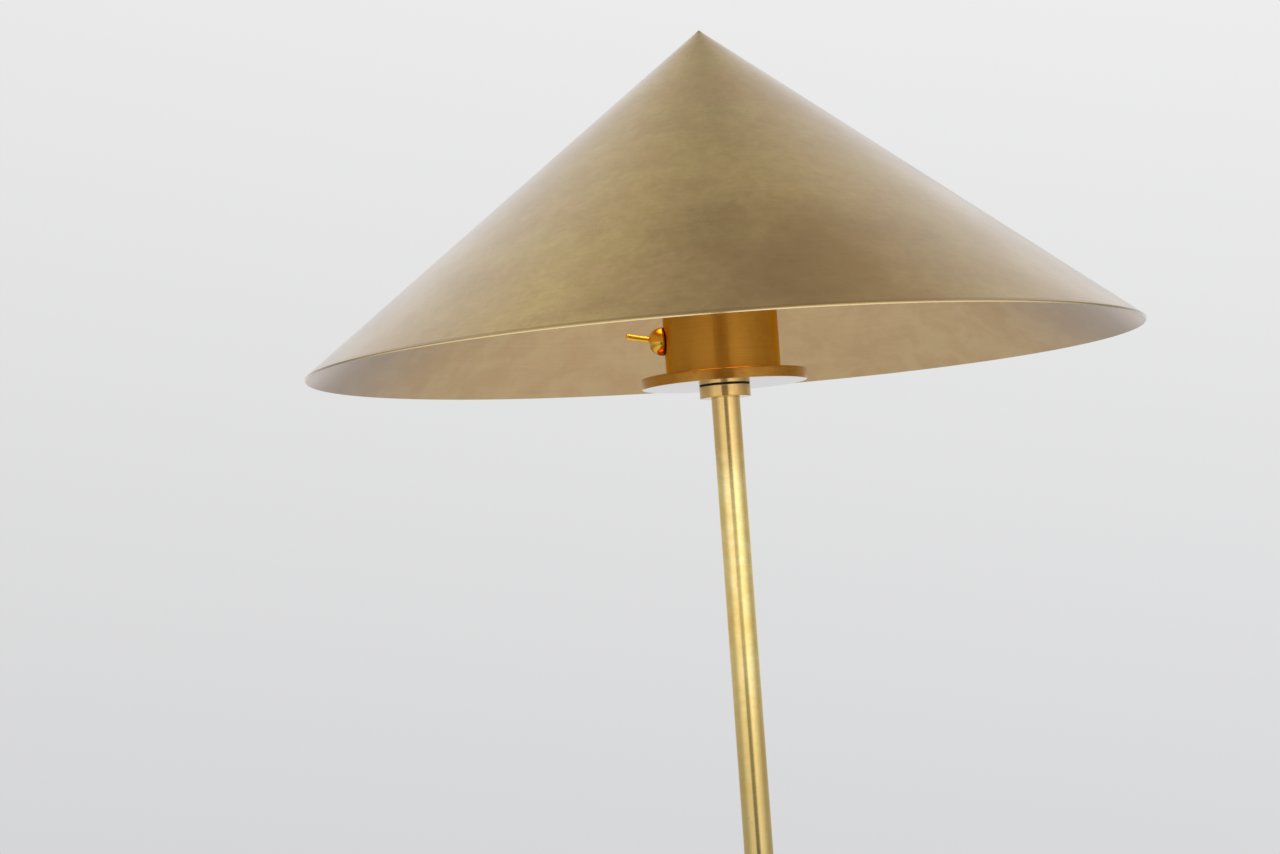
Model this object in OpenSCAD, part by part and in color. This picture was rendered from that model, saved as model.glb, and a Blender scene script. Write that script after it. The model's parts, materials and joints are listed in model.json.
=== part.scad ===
// Tripod floor lamp: a conical brass shade on a swivelling head, one slim stem and
// three tapered legs. Millimetres, +Z up. The origin is on the floor under the stem's
// axis, the front faces -Y and the switch is on the -X side. Heights inside the head
// are counted from the plane of the shade's rim.

/* [Overall] */
// Height of the shade's rim above the floor
rim_h = 1275; // [1000:5:1500]
// Outer diameter of the stem
stem_d = 16; // [14:0.5:16]
// Wall of the stem's tube
stem_wall = 1.5; // [1:0.1:1.5]

/* [Shade] */
// Diameter of the shade across its rim
shade_d = 459; // [450:0.5:500]
// Height of the cone from its rim to its point
shade_h = 184; // [178:0.5:200]
// Thickness of the shade's sheet
shade_t = 1.2; // [0.8:0.1:1.5]
// Radius of the brazed tip that closes the cone's point
tip_r = 2.5; // [2.5:0.1:3.5]
// Distance from the axis at which the struts meet the shade
strut_reach = 100; // [90:1:110]
// Diameter of the struts' rod
strut_d = 3.2; // [2.5:0.1:3.2]

/* [Head] */
// Diameter of the plate under the cup
plate_d = 91.6; // [84:0.2:100]
// Thickness of the plate
plate_t = 6; // [5:0.1:7]
// Depth of the plate's underside below the rim
plate_drop = 15.6; // [14:0.1:17]
// Outer diameter of the cup
cup_d = 63.6; // [62:0.2:66]
// Height of the cup
cup_h = 59.6; // [58:0.1:61]
// Wall of the cup
cup_wall = 1.5; // [1.2:0.1:1.6]
// Diameter of the collar on the stem's end
collar_d = 28.5; // [27:0.1:32]
// Height of the collar
collar_h = 6.5; // [6:0.1:8]
// Turn of the head to each side before the stop pin meets the plate
swivel_stop = 165; // [120:1:165]

/* [Switch] */
// Height of the switch's axis above the rim
switch_z = 11; // [10.5:0.1:11.5]
// Diameter of the dome nut
dome_d = 16.2; // [15.8:0.1:16.8]
// Tilt of the lever above the switch's axis
lever_tilt = 12; // [8:0.5:12]
// Length of the lever from its pivot to its tip
lever_len = 20.1; // [17:0.1:22]

/* [Tripod] */
// Distance from the axis to the middle of each foot
foot_reach = 214; // [190:1:216]
// Height of the hub's middle
hub_z = 265; // [245:1:290]
// Diameter of the hub's ball
hub_d = 68; // [66:0.5:72]
// Diameter of a foot
foot_d = 24; // [22:0.5:24]
// Diameter of a leg where it meets the hub
leg_top_d = 15; // [13:0.5:15]
// Diameter of a leg where it enters its foot
leg_end_d = 10; // [8:0.5:10]

/* [Cord inlet] */
// Diameter of the inlet bush's bore
inlet_d = 7.4; // [6:0.1:7.6]

/* [Hidden] */
$fn = 96;
fit = 0.02;             // radial room between two pieces of one body
run = 0.05;             // radial room of the swivel's running fit
gap = 0.3;              // room between pieces of different bodies
eps = 1;                // how far a cutting shape stands past the solid it cuts
edge = 0.4;             // chamfer on turned edges

shade_r = shade_d / 2;
slope = atan2(shade_h, shade_r);
sheet_drop = shade_t / cos(slope);
tip_z = (shade_r - tip_r) * tan(slope);
tip_shank_r = 1.2;
tip_shank_l = 4;

stem_r = stem_d / 2;
stem_bore_r = stem_r - stem_wall;
thread_r = 5;           // M10 x 1 hollow thread
thread_bore_r = 3.8;
lead_r = 2.6;
core_r = 0.8;

plate_r = plate_d / 2;
plate_bottom = -plate_drop;
plate_top = plate_bottom + plate_t;
washer_t = 0.5;
collar_r = collar_d / 2;
collar_top = plate_bottom - run - washer_t;
collar_bottom = collar_top - collar_h;
stem_seat = 3;          // depth to which the stem stands in either collar
stem_top = rim_h + collar_bottom + stem_seat;
insert_l = 20;
spindle_top = 1;
spindle_bottom = collar_bottom + stem_seat - insert_l;

stop_r = 10.5;          // radius of the stop pin's path
stop_pin_r = 1;
stop_pin_in = 4;        // how deep the stop pin stands in the collar
stop_pin_out = 2;       // how far it stands up into the plate
stop_groove_w = 2.6;
stop_groove_h = 2.5;
stop_half = swivel_stop + asin(stop_pin_r / stop_r);

cup_r = cup_d / 2;
cup_bore_r = cup_r - cup_wall;
cup_floor_t = 2;
cup_floor = plate_top + cup_floor_t;
cup_top = plate_top + cup_h;
screw_r = 1.5;          // M3
screw_head_r = 2.75;
screw_head_h = 1.8;
cup_screw_at = 20;
plate_screw_l = 4;

nut_af = 14;
nut_h = 3.5;
spring_washer_r = 9.5;
spring_washer_t = 0.9;

bracket_w = 14;
bracket_t = 1.5;
bracket_leg_y = 16;
bracket_foot_y = 24.5;
bracket_screw_y = 20.5;
bracket_top = 23.5;
holder_nipple_l = 11;
holder_cap_r = 17;
holder_cap_h = 3;
holder_r = 18.5;
holder_h = 36;
holder_floor = 7.5;
holder_bore_r = 14.4;
holder_z = bracket_top + holder_cap_h;
shell_wall = 0.8;
contact_h = 2.5;
contact_r = 4;

bulb_z = holder_z + holder_floor + contact_h + 0.1;
bulb_contact_r = 4.8;
bulb_contact_h = 2;
bulb_glass_h = 2.5;
bulb_cap_r = 13.1;
bulb_cap_h = 23;
bulb_cap_z = bulb_z + bulb_contact_h + bulb_glass_h;
bulb_body_z = bulb_cap_z + bulb_cap_h;
bulb_r = 30;
bulb_wall = 1.2;
bulb_seam_r = 24;
bulb_mid_z = bulb_body_z + 52;
bulb_seam_z = bulb_mid_z - sqrt(bulb_r * bulb_r - bulb_seam_r * bulb_seam_r);

fitter_h = 11;
fitter_w = 4.7;
fitter_z = cup_top - 6;
fitter_r = cup_bore_r - 0.1;
fitter_screw_z = cup_top - 3.5;
fitter_screw_l = 6;
strut_r = strut_d / 2;
strut_start = [cup_bore_r - 2.5, 0, fitter_z + fitter_h - 3];
strut_end = [strut_reach, 0, (shade_r - strut_reach) * tan(slope) - sheet_drop];
pad_r = 7;
pad_t = 1.5;

bushing_r = 5.9;        // 15/32 inch switch thread
bushing_bore_r = 3;
seal_t = 0.4;
seal_r = 7.6;
dome_r = dome_d / 2;
dome_x = cup_r + seal_t;
dome_skirt = 0.5;       // straight part under the dome
mouth_r = 3.8;
bushing_end = dome_x + 4.2;
pivot_x = dome_x + 0.8;
lever_r = 1.5;
lever_tip_r = 1.8;
lever_neck_r = 1.2;
lever_ball_r = 2.5;
lever_tail = 5;
switch_nut_x = 27.4;
switch_nut_t = 2;
switch_nut_af = 14;
switch_x = 26;
switch_depth = 14;
switch_w = 13;
switch_tall = 20;
terminal_l = 4;
terminal_w = 3;
terminal_t = 0.8;
terminal_pitch = 4.5;

hub_r = hub_d / 2;
splay = atan2(foot_reach, hub_z - foot_d / 2);
leg_full = sqrt(pow(foot_reach, 2) + pow(hub_z - foot_d / 2, 2));
leg_seat = hub_r - 2.5;
leg_stud_r = 4;
leg_stud_l = 12;
leg_plain = 16;         // untapered length at a leg's lower end
leg_end = leg_full - 3;
hub_flat_up = hub_r - 4;
hub_flat_down = hub_r - 3;
hub_collar_h = 10;
hub_stem_floor = 5;
channel_r = 4.2;
chamber_r = 11;
chamber_h = 9;
hub_cap_r = 13.5;
hub_cap_t = 2.5;
hub_cap_plug = 4;
set_screw_r = 2.5;
set_screw_z = 18;
set_screw_l = 16;

foot_r = foot_d / 2;
foot_pad_h = 3.5;
foot_pad_in = 0.5;
foot_pad_r = foot_r - 2;
foot_cyl_h = 5;

inlet_r = inlet_d / 2;
bush_r = 5;
bush_flange_r = 7;
bush_flange_t = 2;
bush_l = 11;
bush_bottom = hub_z - hub_flat_down - hub_cap_t - bush_flange_t;

leg_angles = [90, 210, 330];
strut_angles = [30, 150, 270];
fitter_screw_angles = [90, 210, 330];

// Routes of the three cores in the head, in the XZ plane, from the rim's plane
live_route = [[-1.4, 2.2], [-1.6, 4], [-3.4, 6], [-6, switch_z - terminal_pitch],
    [-(switch_x - switch_depth - terminal_l), switch_z - terminal_pitch]];
switched_route = [[-(switch_x - switch_depth - terminal_l), switch_z + terminal_pitch],
    [-5.5, switch_z + terminal_pitch], [-2.4, 16.4], [-1.4, 19], [-1.4, 25], [-1.4, 33]];
neutral_route = [[1.4, 2.2], [1.6, 5], [3, 9], [1.6, 14], [1.4, 18], [1.4, 25], [1.4, 33]];

// ---- Shared shapes ----

module at_rim(z = 0) {
    translate([0, 0, rim_h + z]) children();
}

// A ring from height 0 to h
module ring(r_out, r_in, h) {
    difference() {
        cylinder(r = r_out, h = h);
        translate([0, 0, -eps]) cylinder(r = r_in, h = h + 2 * eps);
    }
}

// A turned ring with a small chamfer on its outer edges
module turned_ring(r_out, r_in, h, c = edge) {
    rotate_extrude() polygon([[r_in, 0], [r_out - c, 0], [r_out, c], [r_out, h - c],
        [r_out - c, h], [r_in, h]]);
}

module hex_nut(af, bore_r, h) {
    difference() {
        cylinder(d = af / cos(30), h = h, $fn = 6);
        translate([0, 0, -eps]) cylinder(r = bore_r, h = h + 2 * eps);
    }
}

// A pan-head screw: its head stands on height 0 and its shank points down
module pan_screw(shank_l) {
    slot_w = 0.7;
    difference() {
        cylinder(r = screw_head_r, h = screw_head_h);
        translate([-screw_head_r - eps, -slot_w / 2, screw_head_h / 2])
            cube([2 * (screw_head_r + eps), slot_w, screw_head_h]);
    }
    translate([0, 0, -shank_l]) cylinder(r = screw_r - fit, h = shank_l);
}

// Places children at a leg: its own Z axis runs from the hub's middle down the leg
module along_leg(i) {
    translate([0, 0, hub_z]) rotate([0, 0, leg_angles[i]]) rotate([0, 180 - splay, 0]) children();
}

// Places children with their Z axis pointing out of the cup along the switch's axis
module along_switch(x = 0) {
    at_rim(switch_z) rotate([0, -90, 0]) translate([0, 0, x]) children();
}

// A round core swept along a route in the XZ plane, smoothed through its points
function spline(p0, p1, p2, p3, t) = 0.5 * (2 * p1 + (p2 - p0) * t
    + (2 * p0 - 5 * p1 + 4 * p2 - p3) * t * t + (3 * p1 - p0 - 3 * p2 + p3) * t * t * t);
function smooth(p, steps) = concat(
    [for (i = [0 : len(p) - 2], s = [0 : steps - 1])
        spline(p[max(i - 1, 0)], p[i], p[i + 1], p[min(i + 2, len(p) - 1)], s / steps)],
    [p[len(p) - 1]]);
function heading(p, i) = p[min(i + 1, len(p) - 1)] - p[max(i - 1, 0)];
function core_ring(c, h, r, n) = [for (k = [0 : n - 1])
    [c[0] - h[1] / norm(h) * r * cos(360 * k / n), r * sin(360 * k / n),
     c[1] + h[0] / norm(h) * r * cos(360 * k / n)]];

module core(route, r) {
    sides = 8;
    path = smooth(route, 4);
    rings = len(path);
    points = [for (i = [0 : rings - 1]) each core_ring(path[i], heading(path, i), r, sides)];
    walls = [for (i = [0 : rings - 2], k = [0 : sides - 1])
        [i * sides + k, i * sides + (k + 1) % sides,
         (i + 1) * sides + (k + 1) % sides, (i + 1) * sides + k]];
    start = [for (k = [sides - 1 : -1 : 0]) k];
    finish = [for (k = [0 : sides - 1]) (rings - 1) * sides + k];
    at_rim() polyhedron(points, concat([start], walls, [finish]), convexity = 4);
}

// ---- Tripod ----

module at_foot(i) {
    rotate([0, 0, leg_angles[i]]) translate([foot_reach, 0, 0]) children();
}

module foot_pad(i) {
    color("dimgray") at_foot(i) turned_ring(foot_pad_r, 0, foot_pad_h);
}

module foot(i) {
    base_z = foot_pad_h - foot_pad_in;
    color("goldenrod") difference() {
        at_foot(i) difference() {
            union() {
                translate([0, 0, base_z]) cylinder(r = foot_r, h = foot_cyl_h);
                translate([0, 0, base_z + foot_cyl_h]) sphere(r = foot_r);
            }
            translate([0, 0, base_z - foot_r]) cylinder(r = foot_r + eps, h = foot_r);
            translate([0, 0, base_z - eps]) cylinder(r = foot_pad_r + fit, h = foot_pad_in + eps);
        }
        along_leg(i) translate([0, 0, leg_full - 2 * foot_r])
            cylinder(r = leg_end_d / 2 + fit, h = leg_end + fit - (leg_full - 2 * foot_r));
    }
}

module leg(i) {
    color("goldenrod") along_leg(i) {
        translate([0, 0, leg_seat - leg_stud_l]) cylinder(r = leg_stud_r, h = leg_stud_l);
        translate([0, 0, leg_seat])
            cylinder(d1 = leg_top_d, d2 = leg_end_d, h = leg_end - leg_plain - leg_seat);
        translate([0, 0, leg_end - leg_plain]) cylinder(d = leg_end_d, h = leg_plain);
    }
}

module hub() {
    color("goldenrod") difference() {
        translate([0, 0, hub_z]) difference() {
            sphere(r = hub_r);
            translate([0, 0, hub_flat_up]) cylinder(r = hub_r, h = hub_r);
            translate([0, 0, -hub_flat_down - hub_r]) cylinder(r = hub_r, h = hub_r);
            translate([0, 0, hub_stem_floor]) cylinder(r = stem_r + fit, h = hub_r);
            translate([0, 0, -hub_r]) cylinder(r = channel_r, h = 2 * hub_r);
            translate([0, 0, -hub_flat_down - eps]) cylinder(r = chamber_r, h = chamber_h + eps);
            translate([0, 0, set_screw_z]) rotate([-90, 0, 0]) cylinder(r = set_screw_r, h = hub_r);
        }
        for (i = [0 : 2]) along_leg(i) {
            translate([0, 0, leg_seat]) cylinder(r = leg_top_d / 2 + fit, h = hub_r);
            translate([0, 0, leg_seat - leg_stud_l - eps])
                cylinder(r = leg_stud_r + fit, h = leg_stud_l + 2 * eps);
        }
    }
}

// A slotless headless screw with a hexagon socket, from the hub's back to the stem
module stem_set_screw() {
    socket_af = 2.5;
    socket_l = 3;
    color("silver") translate([0, stem_r + fit, hub_z + set_screw_z]) rotate([-90, 0, 0])
        difference() {
            cylinder(r = set_screw_r - fit, h = set_screw_l);
            translate([0, 0, set_screw_l - socket_l])
                cylinder(d = socket_af / cos(30), h = socket_l + eps, $fn = 6);
        }
}

module hub_cap() {
    color("goldenrod") translate([0, 0, hub_z - hub_flat_down - hub_cap_t]) difference() {
        union() {
            turned_ring(hub_cap_r, bush_r + fit, hub_cap_t);
            ring(chamber_r - fit, bush_r + fit, hub_cap_t + hub_cap_plug);
        }
        translate([0, 0, -eps]) cylinder(r = bush_r + fit, h = hub_cap_t + hub_cap_plug + 2 * eps);
    }
}

module cord_inlet_bush() {
    color("black") translate([0, 0, bush_bottom]) difference() {
        union() {
            cylinder(r = bush_flange_r, h = bush_flange_t);
            cylinder(r = bush_r, h = bush_l);
        }
        translate([0, 0, -eps]) cylinder(r = inlet_r, h = bush_l + 2 * eps);
    }
}

module hub_collar() {
    color("goldenrod") translate([0, 0, hub_z + hub_flat_up])
        turned_ring(collar_r, stem_r + fit, hub_collar_h);
}

// ---- Stem ----

module stem() {
    bottom = hub_z + hub_stem_floor;
    color("gold") translate([0, 0, bottom]) ring(stem_r, stem_bore_r, stem_top - bottom);
}

module stem_insert() {
    color("goldenrod") at_rim(spindle_bottom) ring(stem_bore_r - fit, thread_r + fit, insert_l);
}

module collar() {
    color("goldenrod") at_rim(collar_bottom) difference() {
        turned_ring(collar_r, thread_r + fit, collar_h);
        translate([0, 0, -eps]) cylinder(r = stem_r + fit, h = stem_seat + eps);
        translate([stop_r, 0, collar_h - stop_pin_in])
            cylinder(r = stop_pin_r, h = stop_pin_in + eps);
    }
}

module swivel_washer() {
    color("black") at_rim(collar_top) difference() {
        ring(collar_r - gap, thread_r + fit, washer_t);
        translate([stop_r, 0, -eps]) cylinder(r = stop_pin_r + fit, h = washer_t + 2 * eps);
    }
}

module stop_pin() {
    color("silver") at_rim(collar_top - stop_pin_in) translate([stop_r, 0, 0])
        cylinder(r = stop_pin_r, h = stop_pin_in + washer_t + run + stop_pin_out);
}

module swivel_spindle() {
    color("silver") at_rim(spindle_bottom)
        ring(thread_r, thread_bore_r, spindle_top - spindle_bottom);
}

module spring_washer() {
    color("silver") at_rim(cup_floor + run)
        ring(spring_washer_r, thread_r + fit, spring_washer_t);
}

module spindle_nut() {
    color("silver") at_rim(cup_floor + run + spring_washer_t)
        hex_nut(nut_af, thread_r + fit, nut_h);
}

// The flexible lead inside the lamp, from above the inlet bush to the spindle's top
module supply_lead() {
    bottom = bush_bottom + bush_l + 2;
    top = rim_h + spindle_top + 0.6;
    color("saddlebrown") translate([0, 0, bottom]) cylinder(r = lead_r, h = top - bottom);
}

// ---- Head ----

module head_plate() {
    color("goldenrod") at_rim(plate_bottom) difference() {
        turned_ring(plate_r, thread_r + run, plate_t);
        rotate([0, 0, -stop_half]) rotate_extrude(angle = 2 * stop_half)
            translate([stop_r - stop_groove_w / 2, -eps]) square([stop_groove_w, stop_groove_h + eps]);
        for (s = [-1, 1]) {
            translate([s * cup_screw_at, 0, plate_t - plate_screw_l])
                cylinder(r = screw_r, h = plate_screw_l + eps);
            translate([0, s * bracket_screw_y, plate_t - plate_screw_l])
                cylinder(r = screw_r, h = plate_screw_l + eps);
        }
    }
}

module cup() {
    color("darkgoldenrod") difference() {
        at_rim(plate_top) difference() {
            turned_ring(cup_r, thread_r + gap, cup_h, edge);
            translate([0, 0, cup_floor_t]) cylinder(r = cup_bore_r, h = cup_h);
            for (s = [-1, 1]) {
                translate([s * cup_screw_at, 0, -eps]) cylinder(r = screw_r, h = cup_floor_t + 2 * eps);
                translate([0, s * bracket_screw_y, -eps])
                    cylinder(r = screw_r, h = cup_floor_t + 2 * eps);
            }
        }
        along_switch(cup_r / 2) cylinder(r = bushing_r + fit, h = cup_r);
        for (a = fitter_screw_angles)
            at_rim(fitter_screw_z) rotate([0, 90, a]) translate([0, 0, cup_r / 2])
                cylinder(r = screw_r, h = cup_r);
    }
}

module cup_screws() {
    color("silver") for (s = [-1, 1])
        at_rim(cup_floor) translate([s * cup_screw_at, 0, 0]) pan_screw(cup_floor_t + plate_screw_l - 0.5);
}

// A bent strip that stands over the spindle and carries the lampholder
module lampholder_bracket() {
    color("silver") at_rim() difference() {
        union() {
            for (s = [-1, 1]) {
                foot_y = s > 0 ? bracket_leg_y - bracket_t : -bracket_foot_y;
                leg_y = s > 0 ? bracket_leg_y - bracket_t : -bracket_leg_y;
                translate([-bracket_w / 2, foot_y, cup_floor])
                    cube([bracket_w, bracket_foot_y - bracket_leg_y + bracket_t, bracket_t]);
                translate([-bracket_w / 2, leg_y, cup_floor])
                    cube([bracket_w, bracket_t, bracket_top - cup_floor]);
            }
            translate([-bracket_w / 2, -bracket_leg_y, bracket_top - bracket_t])
                cube([bracket_w, 2 * bracket_leg_y, bracket_t]);
        }
        translate([0, 0, bracket_top - bracket_t - eps])
            cylinder(r = thread_r + fit, h = bracket_t + 2 * eps);
        for (s = [-1, 1]) translate([0, s * bracket_screw_y, cup_floor - eps])
            cylinder(r = screw_r, h = bracket_t + 2 * eps);
    }
}

module bracket_screws() {
    color("silver") for (s = [-1, 1])
        at_rim(cup_floor + bracket_t) translate([0, s * bracket_screw_y, 0])
            pan_screw(bracket_t + cup_floor_t + plate_screw_l - 0.5);
}

module lampholder_nipple() {
    color("silver") at_rim(holder_z + 2 - holder_nipple_l)
        ring(thread_r, thread_bore_r, holder_nipple_l);
}

module lampholder_nut() {
    color("silver") at_rim(bracket_top - bracket_t - nut_h) hex_nut(nut_af, thread_r + fit, nut_h);
}

module lampholder_cap() {
    color("goldenrod") at_rim(bracket_top) turned_ring(holder_cap_r, thread_r + fit, holder_cap_h);
}

module lampholder_body() {
    color("ivory") at_rim(holder_z) difference() {
        turned_ring(holder_r, contact_r - 0.5, holder_h, 1);
        translate([0, 0, -eps]) cylinder(r = thread_r + fit, h = 2 + eps);
        translate([0, 0, holder_floor]) cylinder(r = holder_bore_r, h = holder_h);
    }
}

module lampholder_shell() {
    color("goldenrod") at_rim(holder_z + holder_floor)
        ring(holder_bore_r - fit, holder_bore_r - shell_wall, holder_h - holder_floor - 1);
}

// A spring tongue's button that meets the bulb's end
module lampholder_contact() {
    color("gold") at_rim(holder_z + holder_floor) cylinder(r = contact_r, h = contact_h);
}

// ---- Bulb ----

module bulb_contact() {
    color("silver") at_rim(bulb_z) cylinder(r1 = 3, r2 = bulb_contact_r, h = bulb_contact_h);
}

module bulb_insulator() {
    color("black") at_rim(bulb_z + bulb_contact_h)
        cylinder(r1 = bulb_contact_r, r2 = bulb_cap_r - 2, h = bulb_glass_h);
}

// The screw cap, with the rounded thread of a lamp cap as rings
module bulb_cap() {
    pitch = 3.63;
    depth = 0.7;
    turns = 5;
    color("silver") at_rim(bulb_cap_z) difference() {
        cylinder(r = bulb_cap_r, h = bulb_cap_h);
        for (k = [0 : turns - 1]) translate([0, 0, 3 + k * pitch]) rotate_extrude()
            translate([bulb_cap_r + 0.5, 0]) circle(r = depth + 0.5, $fn = 24);
    }
}

module bulb_housing() {
    neck_r = 15;
    neck_h = 5;
    flare = 1.6;
    height = bulb_seam_z - bulb_body_z;
    color("white") at_rim(bulb_body_z) rotate_extrude() polygon(concat([[0, 0], [neck_r, 0]],
        [for (k = [0 : 0.1 : 1])
            [neck_r + (bulb_seam_r - neck_r) * pow(k, flare), neck_h + (height - neck_h) * k]],
        [[0, height]]));
}

module bulb_globe() {
    color("white", 0.8) at_rim(bulb_mid_z) difference() {
        sphere(r = bulb_r);
        sphere(r = bulb_r - bulb_wall);
        translate([0, 0, bulb_seam_z - bulb_mid_z - bulb_r]) cylinder(r = bulb_r, h = bulb_r);
    }
}

// ---- Shade ----

module shade() {
    color("darkkhaki") at_rim() rotate_extrude($fn = 180) polygon([
        [tip_shank_r + fit, tip_z], [tip_r, tip_z], [shade_r, 0],
        [shade_r - shade_t * sin(slope), -shade_t * cos(slope)],
        [tip_shank_r + fit, (shade_r - tip_shank_r - fit) * tan(slope) - sheet_drop]]);
}

// The brazed tip: a rounded point with a short shank inside the cone
module shade_tip() {
    round_r = 0.5;
    color("peru") at_rim(tip_z) rotate_extrude() polygon(concat(
        [[0, -tip_shank_l], [tip_shank_r, -tip_shank_l], [tip_shank_r, 0], [tip_r, 0]],
        [for (a = [90 - slope : 10 : 90])
            [round_r * cos(a), (tip_r - round_r / sin(slope)) * tan(slope) + round_r * sin(a)]],
        [[0, (tip_r - round_r / sin(slope)) * tan(slope) + round_r]]));
}

module strut_rod() {
    run_v = strut_end - strut_start;
    translate(strut_start) rotate([0, 90 - atan2(run_v[2], run_v[0]), 0])
        cylinder(r = strut_r, h = norm(run_v));
}

// Places children on the cone's inner face with their Z axis pointing off the sheet
module at_strut_end() {
    translate(strut_end) rotate([0, 180 + slope, 0]) children();
}

module shade_strut(i) {
    color("goldenrod") at_rim() rotate([0, 0, strut_angles[i]]) difference() {
        strut_rod();
        at_strut_end() translate([0, 0, pad_t - 3 * pad_r]) cylinder(r = 2 * pad_r, h = 3 * pad_r);
    }
}

module strut_pads() {
    color("goldenrod") for (a = strut_angles) at_rim() rotate([0, 0, a]) intersection() {
        at_strut_end() translate([0, 0, -eps]) cylinder(r = pad_r, h = pad_t + eps);
        translate([0, 0, -sheet_drop]) cylinder(r1 = shade_r, r2 = 0, h = shade_h, $fn = 360);
    }
}

module shade_fitter() {
    color("goldenrod") at_rim() difference() {
        translate([0, 0, fitter_z]) turned_ring(fitter_r, fitter_r - fitter_w, fitter_h);
        for (a = strut_angles) rotate([0, 0, a]) strut_rod();
        for (a = fitter_screw_angles) translate([0, 0, fitter_screw_z]) rotate([0, 90, a])
            translate([0, 0, fitter_r - fitter_w - eps]) cylinder(r = screw_r, h = fitter_w + 2 * eps);
    }
}

module fitter_screws() {
    color("goldenrod") for (a = fitter_screw_angles)
        at_rim(fitter_screw_z) rotate([0, 90, a]) translate([0, 0, cup_r]) pan_screw(fitter_screw_l);
}

// ---- Switch ----

module switch_body() {
    color("black") at_rim(switch_z)
        translate([-switch_x, -switch_w / 2, -switch_tall / 2])
            cube([switch_depth, switch_w, switch_tall]);
}

module switch_terminals() {
    color("silver") for (s = [-1, 1])
        at_rim(switch_z + s * terminal_pitch)
            translate([-(switch_x - switch_depth), -terminal_w / 2, -terminal_t / 2])
                cube([terminal_l, terminal_w, terminal_t]);
}

module switch_bushing() {
    color("silver") along_switch(switch_x) ring(bushing_r, bushing_bore_r, bushing_end - switch_x);
}

module switch_lock_nut() {
    color("silver") along_switch(switch_nut_x) hex_nut(switch_nut_af, bushing_r + fit, switch_nut_t);
}

module switch_seal() {
    color("black") along_switch(cup_r) ring(seal_r, bushing_r + fit, seal_t);
}

module switch_dome_nut() {
    color("orange") along_switch(dome_x) difference() {
        union() {
            cylinder(r = dome_r, h = dome_skirt);
            translate([0, 0, dome_skirt]) sphere(r = dome_r);
        }
        translate([0, 0, -dome_r]) cylinder(r = dome_r + eps, h = dome_r);
        translate([0, 0, -eps]) cylinder(r = bushing_r + fit, h = bushing_end - dome_x + gap + eps);
        cylinder(r = mouth_r, h = 2 * dome_r);
    }
}

module live_core() {
    color("brown") core(live_route, core_r);
}

module switched_core() {
    color("brown") core(switched_route, core_r);
}

module neutral_core() {
    color("steelblue") core(neutral_route, core_r);
}

// The lever turns about the Y axis through its ball; at rest it points up
module toggle_lever() {
    color("orange") along_switch(pivot_x) rotate([0, lever_tilt, 0]) {
        sphere(r = lever_ball_r);
        translate([0, 0, -lever_tail]) cylinder(r = lever_neck_r, h = lever_tail);
        cylinder(r1 = lever_r, r2 = lever_tip_r, h = lever_len - lever_tip_r);
        translate([0, 0, lever_len - lever_tip_r]) sphere(r = lever_tip_r);
    }
}

foot_pad(0);  // foot_pad_back
foot_pad(1);  // foot_pad_left
foot_pad(2);  // foot_pad_right
foot(0);  // foot_back
foot(1);  // foot_left
foot(2);  // foot_right
leg(0);  // leg_back
leg(1);  // leg_left
leg(2);  // leg_right
hub();
hub_cap();
cord_inlet_bush();
hub_collar();
stem_set_screw();
stem();
stem_insert();
collar();
swivel_washer();
stop_pin();
swivel_spindle();
spring_washer();
spindle_nut();
supply_lead();
head_plate();
cup();
cup_screws();
lampholder_bracket();
bracket_screws();
lampholder_nipple();
lampholder_nut();
lampholder_cap();
lampholder_body();
lampholder_shell();
lampholder_contact();
bulb_contact();
bulb_insulator();
bulb_cap();
bulb_housing();
bulb_globe();
shade_fitter();
fitter_screws();
shade_strut(2);  // shade_strut_front
shade_strut(1);  // shade_strut_left
shade_strut(0);  // shade_strut_right
strut_pads();
shade();
shade_tip();
switch_body();
switch_terminals();
switch_bushing();
switch_lock_nut();
switch_seal();
switch_dome_nut();
live_core();
switched_core();
neutral_core();
toggle_lever();
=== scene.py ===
"""Looks of the tripod floor lamp: turned brass pieces, procedural materials, studio and camera.

Metres, +Z up, the front faces -Y. Profiles of turned pieces are written in millimetres, and their
places come from the CAD nodes' boxes.
"""

import json
import math

import bpy
from mathutils import Matrix, Vector


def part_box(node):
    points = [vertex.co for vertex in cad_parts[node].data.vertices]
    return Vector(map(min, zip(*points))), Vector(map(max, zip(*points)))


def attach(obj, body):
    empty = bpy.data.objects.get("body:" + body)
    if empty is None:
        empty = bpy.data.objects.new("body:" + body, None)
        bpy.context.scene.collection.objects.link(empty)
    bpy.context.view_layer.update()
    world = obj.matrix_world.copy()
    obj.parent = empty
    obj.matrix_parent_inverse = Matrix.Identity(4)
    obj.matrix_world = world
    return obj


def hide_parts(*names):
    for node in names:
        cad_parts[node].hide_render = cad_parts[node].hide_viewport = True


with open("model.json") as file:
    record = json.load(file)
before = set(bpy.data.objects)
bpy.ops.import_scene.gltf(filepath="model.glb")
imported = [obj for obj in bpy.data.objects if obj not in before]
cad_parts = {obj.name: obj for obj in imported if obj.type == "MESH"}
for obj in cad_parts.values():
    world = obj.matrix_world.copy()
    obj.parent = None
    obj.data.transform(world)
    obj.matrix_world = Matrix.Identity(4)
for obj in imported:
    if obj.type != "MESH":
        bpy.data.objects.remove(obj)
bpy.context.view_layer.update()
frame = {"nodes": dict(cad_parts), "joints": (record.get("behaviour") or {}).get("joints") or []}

MM = 0.001
TAU = 2 * math.pi


# ---- Sizes from the CAD ----

def levels(node):
    """Lowest height, highest height and half width of a CAD node, in millimetres."""
    low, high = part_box(node)
    return low.z / MM, high.z / MM, (high.x - low.x) / 2 / MM


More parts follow.
